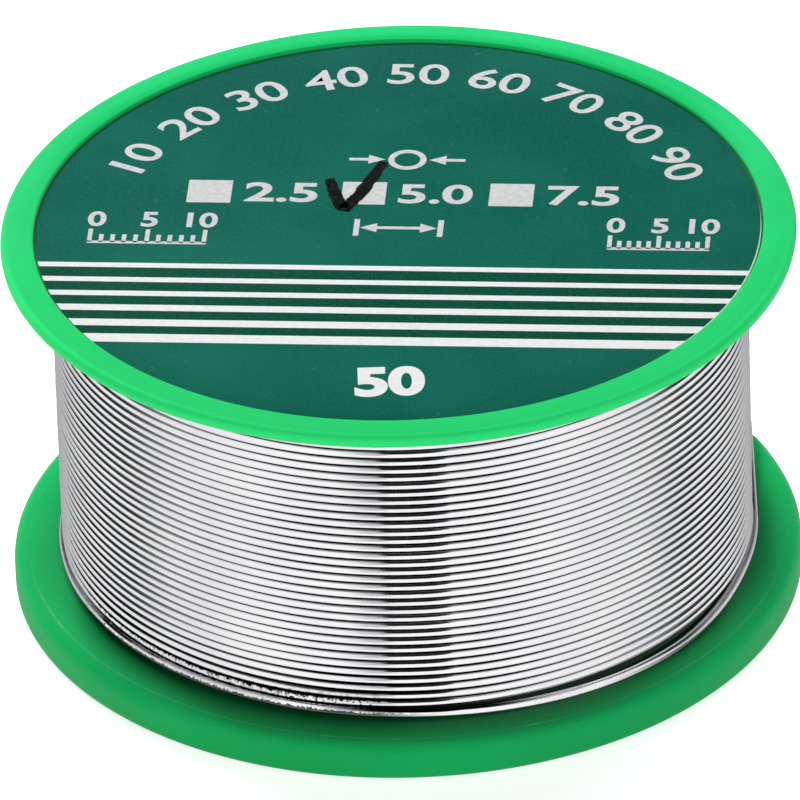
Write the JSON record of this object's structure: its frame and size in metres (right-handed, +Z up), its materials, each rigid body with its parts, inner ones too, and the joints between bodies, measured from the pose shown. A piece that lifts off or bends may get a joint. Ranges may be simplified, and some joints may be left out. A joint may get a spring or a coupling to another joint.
{
  "type": "solder wire spool",
  "caption": "Round plastic spool with two flanges and a spindle bore, wound with close turns of solder wire, a printed disc in its dished top.",
  "frame": {"origin": "centre of the base, on the surface that the spool stands on", "axes": "+Z up along the spool's axis; +X to the right of the picture's view, +Y away from it"},
  "size_m": [0.07, 0.07, 0.0353],
  "materials": {
    "upper_green_plastic": "smooth moulded plastic, light green",
    "lower_green_plastic": "smooth moulded plastic, green",
    "inner_green_plastic": "moulded plastic, inside the spool",
    "label_print": "printed paper with a thin gloss coat",
    "solder_metal": "bright drawn tin wire",
    "flux_resin": "amber resin"
  },
  "bodies": {
    "root": {"lower_flange": "lower_green_plastic", "upper_flange": "upper_green_plastic", "winding_barrel": "inner_green_plastic", "spindle_tube": "inner_green_plastic", "top_label": "label_print", "wire_winding": "solder_metal", "wire_start_tail": "solder_metal", "wire_free_end": "solder_metal", "flux_core": "flux_resin"}
  },
  "joints": []
}
